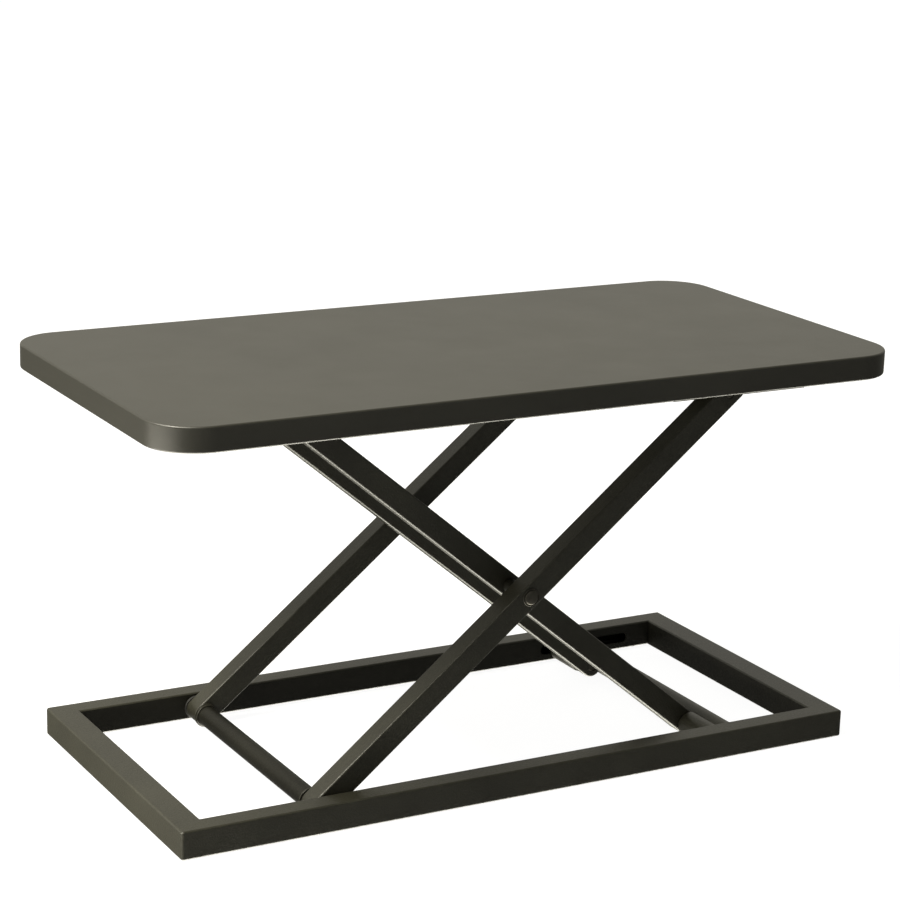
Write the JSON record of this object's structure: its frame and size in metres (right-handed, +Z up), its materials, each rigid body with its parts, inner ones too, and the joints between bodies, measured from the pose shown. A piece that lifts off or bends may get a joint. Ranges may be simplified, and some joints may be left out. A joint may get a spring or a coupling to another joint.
{
  "type": "standing desk converter",
  "caption": "Desktop sit-stand riser: a rounded rectangular tabletop on two scissor pairs of square tube over an open rectangular base frame.",
  "frame": {"origin": "middle of the base frame, on the desk surface that it stands on", "axes": "+X along the long side of the tabletop towards the rolling ends of the arms' feet, +Y from the front edge to the back edge, +Z up"},
  "size_m": [0.682, 0.3416, 0.3539],
  "materials": {
    "powder_coat": "fine matte powder coat, warm charcoal black",
    "laminate": "satin charcoal laminate over a wood-fibre board, with matching edges",
    "dark_steel": "black oxide, satin",
    "rubber": "matte black rubber",
    "nylon": "matte black nylon",
    "zinc_steel": "zinc plated"
  },
  "bodies": {
    "base": {"base_rail_front": "powder_coat", "base_rail_back": "powder_coat", "base_rail_left": "powder_coat", "base_rail_right": "powder_coat", "foot_front_left": "rubber", "foot_front_right": "rubber", "foot_back_left": "rubber", "foot_back_right": "rubber", "base_pin_front": "dark_steel", "base_pin_back": "dark_steel", "base_washer_front": "nylon", "base_washer_back": "nylon"},
    "outer_arms": {"outer_arm_front": "powder_coat", "outer_arm_back": "powder_coat", "outer_arm_foot_front": "powder_coat", "outer_arm_foot_back": "powder_coat", "outer_arm_head_front": "powder_coat", "outer_arm_head_back": "powder_coat", "tie_collar_front": "powder_coat", "tie_collar_back": "powder_coat", "outer_tie": "powder_coat", "track_roller_front": "nylon", "track_roller_back": "nylon", "track_axle_front": "dark_steel", "track_axle_back": "dark_steel", "pivot_bolt_front": "dark_steel", "pivot_bolt_back": "dark_steel", "pivot_nut_front": "dark_steel", "pivot_nut_back": "dark_steel", "pivot_spacer_front": "powder_coat", "pivot_spacer_back": "powder_coat"},
    "inner_arms": {"inner_arm_front": "powder_coat", "inner_arm_back": "powder_coat", "inner_arm_foot_front": "powder_coat", "inner_arm_foot_back": "powder_coat", "inner_arm_head_front": "powder_coat", "inner_arm_head_back": "powder_coat", "axle_sleeve_front": "powder_coat", "axle_sleeve_back": "powder_coat", "inner_tie": "powder_coat", "rail_roller_front": "nylon", "rail_roller_back": "nylon", "rail_axle_front": "dark_steel", "rail_axle_back": "dark_steel"},
    "table": {"tabletop": "laminate", "track_front": "powder_coat", "track_back": "powder_coat", "hinge_bracket_front": "dark_steel", "hinge_bracket_back": "dark_steel", "hinge_pin_front": "dark_steel", "hinge_pin_back": "dark_steel", "track_screw_front_left": "zinc_steel", "track_screw_front_right": "zinc_steel", "track_screw_back_left": "zinc_steel", "track_screw_back_right": "zinc_steel", "bracket_screw_front_near": "zinc_steel", "bracket_screw_front_far": "zinc_steel", "bracket_screw_back_near": "zinc_steel", "bracket_screw_back_far": "zinc_steel"}
  },
  "joints": [
    {"name": "lift", "type": "hinge", "parent": "base", "child": "outer_arms", "pos_m": [-0.185, 0, 0.012], "axis": [0, -1, 0], "range_deg": [-16.2, 3]},
    {"name": "cross", "type": "hinge", "parent": "outer_arms", "child": "inner_arms", "pos_m": [0.00408, 0, 0.16621], "axis": [0, -1, 0], "range_deg": [-6, 32.4]},
    {"name": "table_hinge", "type": "hinge", "parent": "inner_arms", "child": "table", "pos_m": [-0.185, 0, 0.32043], "axis": [0, -1, 0], "range_deg": [-16.2, 3]}
  ],
  "couplings": [
    {"joint": "cross", "follows": "lift", "ratio": -2},
    {"joint": "table_hinge", "follows": "lift", "ratio": 1}
  ]
}
